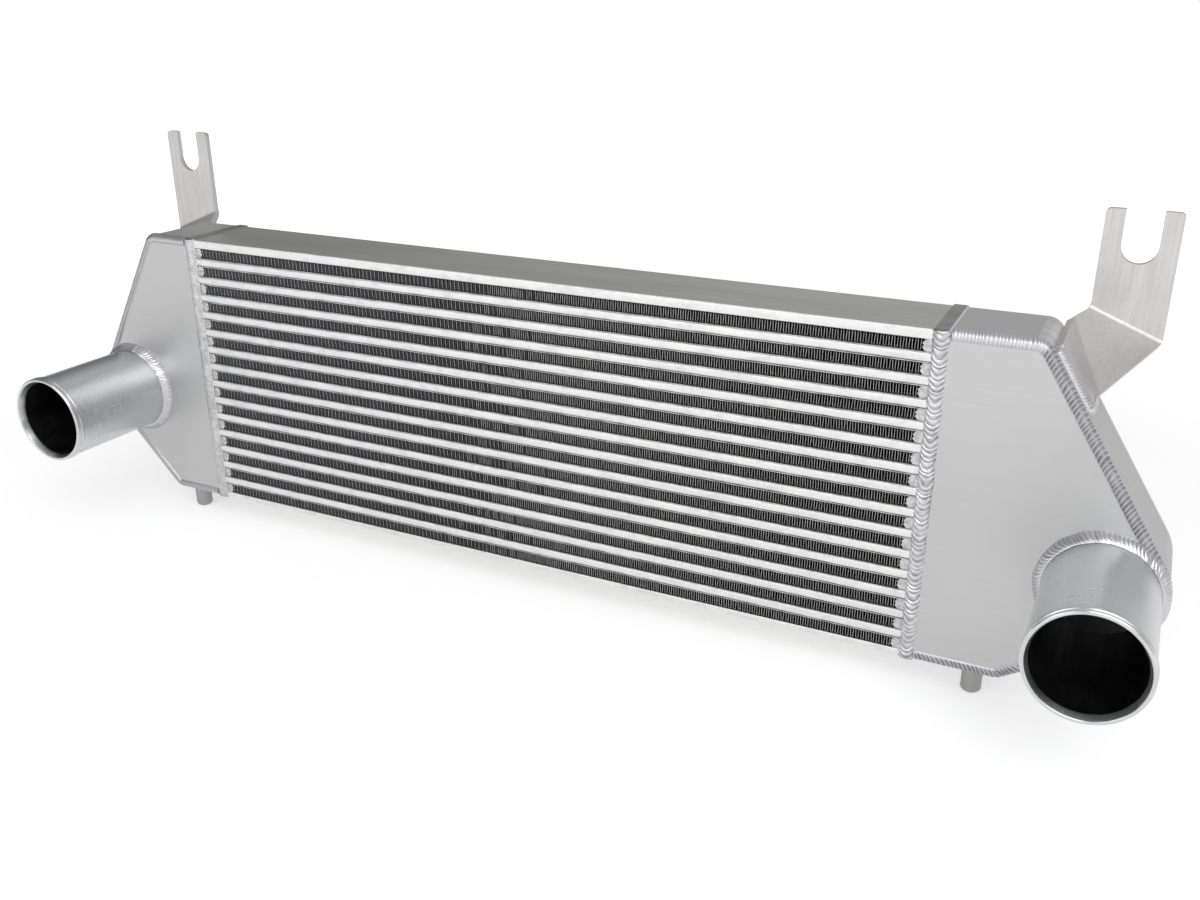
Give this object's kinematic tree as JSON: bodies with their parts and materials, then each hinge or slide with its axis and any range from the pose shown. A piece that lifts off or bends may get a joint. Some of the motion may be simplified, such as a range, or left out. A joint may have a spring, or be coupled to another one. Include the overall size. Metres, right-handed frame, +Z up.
{
  "type": "front mounted intercooler",
  "caption": "Air to air charge cooler: a flat brazed bar and plate core between two welded tapering end tanks, each with a forward pipe, a forked hanging bracket and a locating peg",
  "frame": {"origin": "Midway between the axes of the two locating pegs, level with the underside of the tanks, where the pegs' shoulders rest", "axes": "X runs along the core to the right as seen from the front, Y runs backwards with the cooling air, so the pipes point to -Y, and Z is up"},
  "size_m": [0.894, 0.1968, 0.329],
  "materials": {
    "tank_sheet": "satin rolled sheet",
    "core_plate": "dull rolled plate",
    "core_bar": "bright brazed extrusion",
    "fin_sheet": "dull folded foil",
    "pipe_metal": "turned, satin to bright",
    "weld_bead": "rippled bead",
    "bracket_sheet": "mill finish sheet",
    "peg_metal": "turned bar"
  },
  "bodies": {
    "root": {"core_top_plate": "core_plate", "core_bottom_plate": "core_plate", "separator_sheets": "core_bar", "front_tube_bars": "core_bar", "rear_tube_bars": "core_bar", "left_end_bars": "core_bar", "right_end_bars": "core_bar", "cooling_fins": "fin_sheet", "tube_turbulators": "fin_sheet", "left_tank_front": "tank_sheet", "left_tank_back": "tank_sheet", "left_tank_top": "tank_sheet", "left_tank_wrap": "tank_sheet", "left_pipe": "pipe_metal", "left_bracket": "bracket_sheet", "left_peg": "peg_metal", "left_core_weld": "weld_bead", "left_front_seam": "weld_bead", "left_back_seam": "weld_bead", "left_pipe_weld": "weld_bead", "left_bracket_weld": "weld_bead", "right_tank_front": "tank_sheet", "right_tank_back": "tank_sheet", "right_tank_top": "tank_sheet", "right_tank_wrap": "tank_sheet", "right_pipe": "pipe_metal", "right_bracket": "bracket_sheet", "right_peg": "peg_metal", "right_core_weld": "weld_bead", "right_front_seam": "weld_bead", "right_back_seam": "weld_bead", "right_pipe_weld": "weld_bead", "right_bracket_weld": "weld_bead"}
  },
  "joints": []
}
